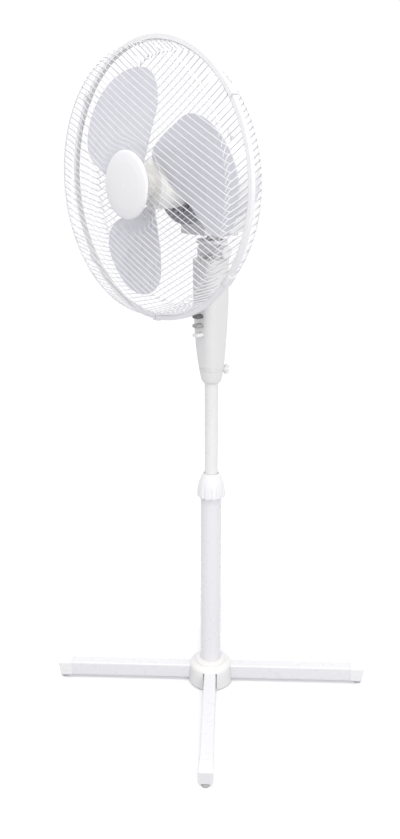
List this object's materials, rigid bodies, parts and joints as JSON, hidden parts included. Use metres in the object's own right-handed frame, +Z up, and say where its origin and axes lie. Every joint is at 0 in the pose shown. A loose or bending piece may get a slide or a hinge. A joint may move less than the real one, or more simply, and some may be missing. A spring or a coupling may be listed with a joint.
{
  "type": "pedestal fan",
  "caption": "Free-standing fan on a telescopic pole with a flat cross base, push-button neck, and a tilting, oscillating caged head.",
  "frame": {"origin": "on the floor under the pole's axis", "axes": "+Z up along the pole; the fan blows towards -Y; the head tilts about X"},
  "size_m": [0.4622, 0.4622, 1.2167],
  "materials": {
    "white_paint": "gloss powder coat",
    "white_plastic": "satin",
    "guard_wire": "gloss powder coat",
    "foot_rubber": "matt",
    "steel": "zinc plated",
    "die_cast": "as cast",
    "nylon": "matt",
    "black_plastic": "matt",
    "grey_plastic": "matt",
    "button_plastic": "gloss",
    "blade_plastic": "translucent, gloss",
    "nut_plastic": "satin",
    "core_steel": "laminated, varnished",
    "copper": "enamelled copper wire",
    "bronze": "sintered",
    "capacitor_case": "matt"
  },
  "bodies": {
    "base": {"base_leg_lower": "white_paint", "base_leg_upper": "white_paint", "leg_cap_1": "white_plastic", "leg_cap_2": "white_plastic", "leg_cap_3": "white_plastic", "leg_cap_4": "white_plastic", "foot_pad_1": "foot_rubber", "foot_pad_2": "foot_rubber", "foot_pad_3": "foot_rubber", "foot_pad_4": "foot_rubber", "hub_cover": "white_plastic", "pole_plug": "nylon", "base_bolt": "steel", "base_washer": "steel", "lower_pole": "white_paint", "pole_collet": "nylon"},
    "collar": {"height_collar": "white_plastic"},
    "column": {"upper_tube": "white_paint", "tube_guide_bush": "nylon", "neck_front_shell": "white_plastic", "neck_rear_shell": "white_plastic", "neck_screws": "steel", "switch_block": "black_plastic", "button_springs": "steel", "cord_gland": "black_plastic", "run_capacitor": "capacitor_case", "tilt_bolt": "steel"},
    "clamp": {"clamp_knob": "white_plastic"},
    "button_0": {"speed_button_0": "button_plastic"},
    "button_1": {"speed_button_1": "button_plastic"},
    "button_2": {"speed_button_2": "button_plastic"},
    "button_3": {"speed_button_3": "button_plastic"},
    "tilt_nut": {"tilt_knob": "white_plastic"},
    "tilt_frame": {"tilt_bracket": "die_cast"},
    "head": {"motor_bracket": "die_cast", "yaw_pin": "steel", "motor_front_cover": "grey_plastic", "motor_rear_cover": "white_plastic", "motor_end_bells": "die_cast", "stator": "core_steel", "stator_winding": "copper", "shaft_bearings": "bronze", "gearbox_housing": "nylon", "rear_guard": "guard_wire", "guard_nut": "grey_plastic", "front_guard": "guard_wire", "guard_band": "white_plastic", "band_screw": "steel", "guard_clips": "white_plastic", "badge": "white_plastic"},
    "spinner": {"rotor": "core_steel", "motor_shaft": "steel", "impeller": "blade_plastic", "drive_pin": "steel", "spinner_nut": "nut_plastic"},
    "wheel": {"worm_wheel": "nylon"},
    "gear": {"crank_gear": "nylon"},
    "crank": {"crank_disc": "nylon"},
    "link": {"crank_link": "steel"},
    "puller": {"oscillation_knob": "white_plastic"}
  },
  "joints": [
    {"name": "collar_turn", "type": "hinge", "parent": "base", "child": "collar", "pos_m": [0, 0, 0.44], "axis": [0, 0, 1], "range_deg": [0, 270]},
    {"name": "height", "type": "slide", "parent": "base", "child": "column", "axis": [0, 0, 1], "range_m": [-0.17, 0.1]},
    {"name": "clamp_turn", "type": "hinge", "parent": "column", "child": "clamp", "pos_m": [0, 0.03, 0.6604], "axis": [0, 1, 0], "range_deg": [0, 270]},
    {"name": "button_0_press", "type": "slide", "parent": "column", "child": "button_0", "axis": [0, 1, 0], "range_m": [0, 0.004], "stiffness_N_per_m": 250, "springref_m": -0.002},
    {"name": "button_1_press", "type": "slide", "parent": "column", "child": "button_1", "axis": [0, 1, 0], "range_m": [0, 0.004], "stiffness_N_per_m": 250, "springref_m": -0.002},
    {"name": "button_2_press", "type": "slide", "parent": "column", "child": "button_2", "axis": [0, 1, 0], "range_m": [0, 0.004], "stiffness_N_per_m": 250, "springref_m": -0.002},
    {"name": "button_3_press", "type": "slide", "parent": "column", "child": "button_3", "axis": [0, 1, 0], "range_m": [0, 0.004], "stiffness_N_per_m": 250, "springref_m": -0.002},
    {"name": "tilt_nut_turn", "type": "hinge", "parent": "column", "child": "tilt_nut", "pos_m": [0.03, 0, 0.882], "axis": [1, 0, 0], "range_deg": [0, 270]},
    {"name": "tilt", "type": "hinge", "parent": "column", "child": "tilt_frame", "pos_m": [0, 0, 0.882], "axis": [1, 0, 0], "range_deg": [-25, 15]},
    {"name": "oscillation", "type": "hinge", "parent": "tilt_frame", "child": "head", "pos_m": [0, 0, 0.905], "axis": [0, 0, 1], "range_deg": [-40, 40]},
    {"name": "fan_spin", "type": "hinge", "parent": "head", "child": "spinner", "pos_m": [0, 0, 0.998], "axis": [0, 1, 0], "continuous": true},
    {"name": "worm_wheel_turn", "type": "hinge", "parent": "head", "child": "wheel", "pos_m": [0.0172, 0.026, 0.998], "axis": [0, 0, 1], "continuous": true},
    {"name": "crank_gear_turn", "type": "hinge", "parent": "head", "child": "gear", "pos_m": [0, 0.046, 0.988], "axis": [0, 0, 1], "continuous": true},
    {"name": "crank_turn", "type": "hinge", "parent": "head", "child": "crank", "pos_m": [0, 0.046, 0.912], "axis": [0, 0, 1], "range_deg": [-80.5, 80.5]},
    {"name": "link_turn", "type": "hinge", "parent": "crank", "child": "link", "pos_m": [0, 0.058, 0.905], "axis": [0, 0, 1], "range_deg": [-47.5, 47.5]},
    {"name": "oscillation_pull", "type": "slide", "parent": "head", "child": "puller", "axis": [0, 0, 1], "range_m": [0, 0.008]}
  ],
  "couplings": [
    {"joint": "worm_wheel_turn", "follows": "fan_spin", "ratio": 0.041667},
    {"joint": "crank_gear_turn", "follows": "fan_spin", "ratio": -0.018519},
    {"joint": "crank_turn", "follows": "oscillation", "ratio": 2},
    {"joint": "link_turn", "follows": "oscillation", "ratio": -1.17}
  ]
}
